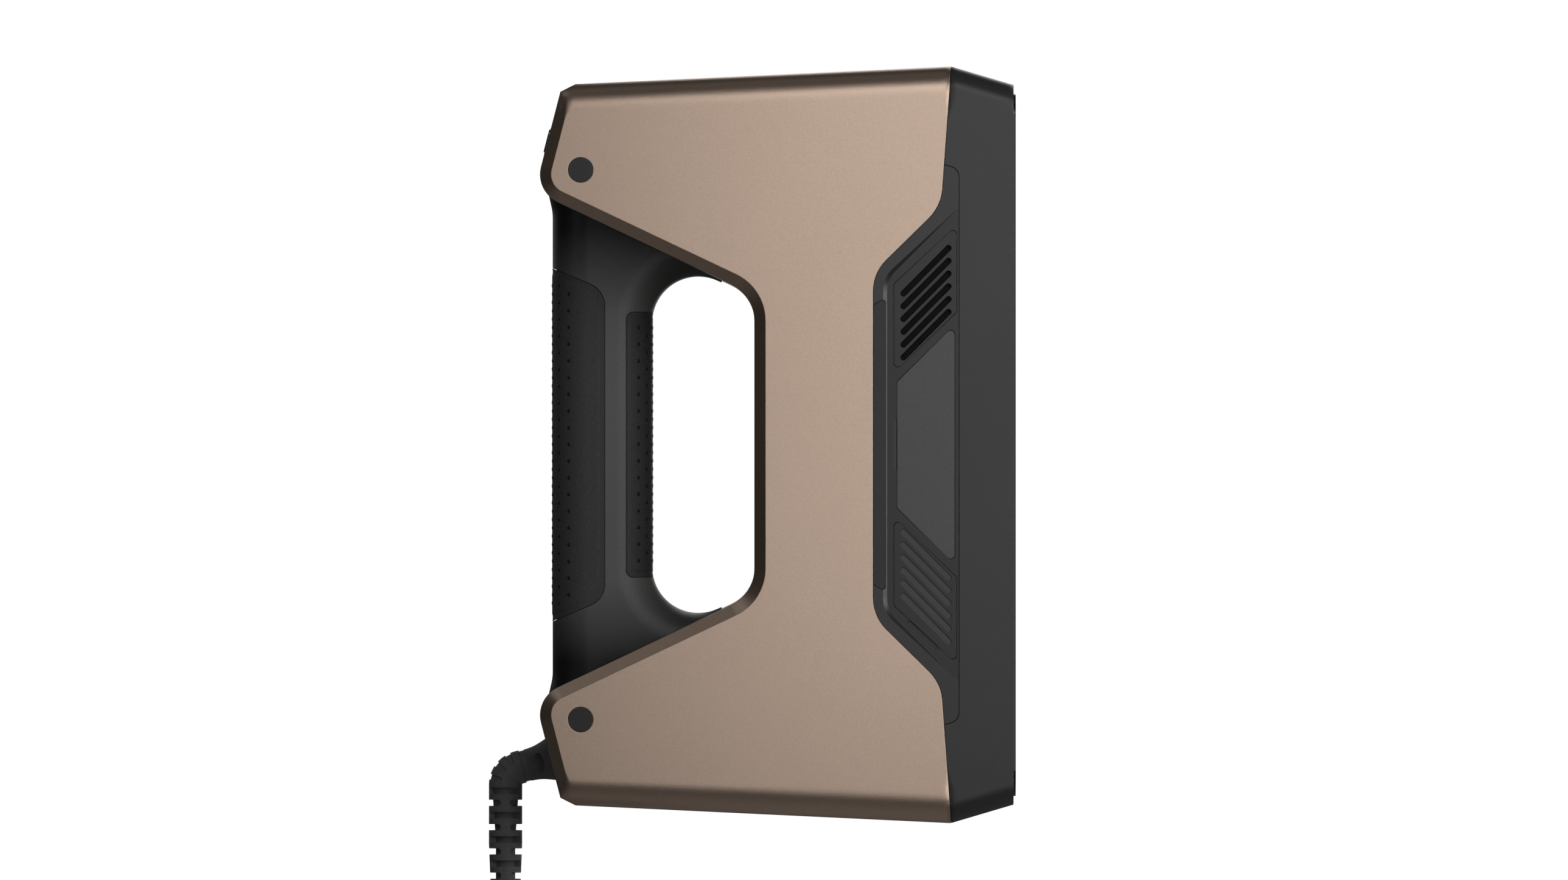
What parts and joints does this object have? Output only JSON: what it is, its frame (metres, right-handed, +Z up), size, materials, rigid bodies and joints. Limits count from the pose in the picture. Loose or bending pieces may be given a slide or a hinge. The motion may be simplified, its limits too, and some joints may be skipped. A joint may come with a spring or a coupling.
{
  "type": "handheld 3d scanner",
  "caption": "Handheld structured-light scanner: copper-coloured C-shaped casing halves, black front bezel with windows, rubber grip behind a finger opening, and a plug-in cable.",
  "frame": {"origin": "middle of the grip, on the plane between the two casing halves", "axes": "+X forward towards the lenses, +Y to the holder's left, +Z up along the grip"},
  "size_m": [0.209, 0.108, 0.4564],
  "materials": {
    "filter_foam": "open-cell black foam",
    "copper_shell": "metallic copper-brown paint, satin",
    "black_plastic": "fine-grained black plastic",
    "grip_rubber": "matt soft rubber",
    "front_gloss": "gloss black",
    "window_glass": "coated clear glass",
    "insert_plastic": "fine-grained black plastic",
    "strip_plastic": "smooth black plastic",
    "badge_plastic": "smooth dark grey plastic",
    "socket_plastic": "black glass-filled plastic",
    "screw_steel": "turned steel",
    "bearing_bronze": "sintered bronze",
    "brass_bush": "turned brass",
    "button_plastic": "satin black plastic",
    "bright_trim": "bright anodised",
    "light_plastic": "translucent cyan",
    "circuit_board": "green solder mask",
    "bench_aluminium": "milled",
    "lens_black": "black anodised",
    "cord_jacket": "matt black jacket",
    "tie_strap": "woven hook-and-loop strap"
  },
  "bodies": {
    "scanner": {"right_shell": "copper_shell", "left_shell": "copper_shell", "spine": "black_plastic", "right_handle": "black_plastic", "left_handle": "black_plastic", "front_bezel": "black_plastic", "rear_grip_pad": "grip_rubber", "front_grip_pad": "grip_rubber", "strain_relief": "grip_rubber", "cable_plug": "grip_rubber", "front_plate": "front_gloss", "upper_camera_window": "window_glass", "lower_camera_window": "window_glass", "projector_window": "window_glass", "upper_lens_glass": "window_glass", "lower_lens_glass": "window_glass", "right_side_insert": "insert_plastic", "left_side_insert": "insert_plastic", "right_vent_grille": "insert_plastic", "left_vent_grille": "insert_plastic", "right_strip_cover": "strip_plastic", "left_strip_cover": "strip_plastic", "screw_caps": "strip_plastic", "right_accessory_sockets": "socket_plastic", "left_accessory_sockets": "socket_plastic", "fan_frame": "socket_plastic", "cable_socket": "socket_plastic", "casing_screws": "screw_steel", "fan_bearing": "bearing_bronze", "tripod_bush": "brass_bush", "button_trim": "bright_trim", "status_light": "light_plastic", "switch_board": "circuit_board", "main_board": "circuit_board", "upper_led_ring": "circuit_board", "lower_led_ring": "circuit_board", "optical_bench": "bench_aluminium", "upper_camera_body": "bench_aluminium", "lower_camera_body": "bench_aluminium", "projector_housing": "bench_aluminium", "projector_heatsink": "bench_aluminium", "upper_camera_lens": "lens_black", "lower_camera_lens": "lens_black", "projector_lens": "lens_black", "cord": "cord_jacket", "cord_coil": "cord_jacket", "cord_tail": "cord_jacket", "usb_plug": "cord_jacket", "cord_tie": "tie_strap", "dust_filters": "filter_foam"},
    "start_button": {"start_button": "button_plastic"},
    "plus_button": {"plus_button": "button_plastic"},
    "minus_button": {"minus_button": "button_plastic"},
    "fan_rotor": {"fan_rotor": "socket_plastic"},
    "right_plug_screw": {"right_plug_screw": "screw_steel"},
    "left_plug_screw": {"left_plug_screw": "screw_steel"},
    "right_badge_plate": {"right_badge_plate": "badge_plastic"},
    "left_badge_plate": {"left_badge_plate": "badge_plastic"},
    "right_port_cover": {"right_port_cover": "insert_plastic"},
    "left_port_cover": {"left_port_cover": "insert_plastic"}
  },
  "joints": [
    {"name": "start_button_press", "type": "slide", "parent": "scanner", "child": "start_button", "axis": [0.9681, 0, -0.2504], "range_m": [0, 0.0005], "stiffness_N_per_m": 4000},
    {"name": "plus_button_press", "type": "slide", "parent": "scanner", "child": "plus_button", "axis": [0.9681, 0, -0.2504], "range_m": [0, 0.0005], "stiffness_N_per_m": 4000},
    {"name": "minus_button_press", "type": "slide", "parent": "scanner", "child": "minus_button", "axis": [0.9681, 0, -0.2504], "range_m": [0, 0.0005], "stiffness_N_per_m": 4000},
    {"name": "fan_spin", "type": "hinge", "parent": "scanner", "child": "fan_rotor", "pos_m": [0.1015, -0.0464, 0.0456], "axis": [0, 1, 0], "continuous": true},
    {"name": "right_plug_screw_turn", "type": "hinge", "parent": "scanner", "child": "right_plug_screw", "pos_m": [-0.01598, -0.009, -0.0988], "axis": [-0.9681, 0, -0.2504], "continuous": true},
    {"name": "left_plug_screw_turn", "type": "hinge", "parent": "scanner", "child": "left_plug_screw", "pos_m": [-0.01598, 0.009, -0.0988], "axis": [-0.9681, 0, -0.2504], "continuous": true},
    {"name": "right_badge_plate_pull", "type": "slide", "parent": "scanner", "child": "right_badge_plate", "axis": [-0.0535, -0.9986, 0], "range_m": [0, 0.012]},
    {"name": "right_port_cover_pull", "type": "slide", "parent": "scanner", "child": "right_port_cover", "axis": [-0.0535, -0.9986, 0], "range_m": [0, 0.012]},
    {"name": "left_badge_plate_pull", "type": "slide", "parent": "scanner", "child": "left_badge_plate", "axis": [-0.0535, 0.9986, 0], "range_m": [0, 0.012]},
    {"name": "left_port_cover_pull", "type": "slide", "parent": "scanner", "child": "left_port_cover", "axis": [-0.0535, 0.9986, 0], "range_m": [0, 0.012]}
  ]
}
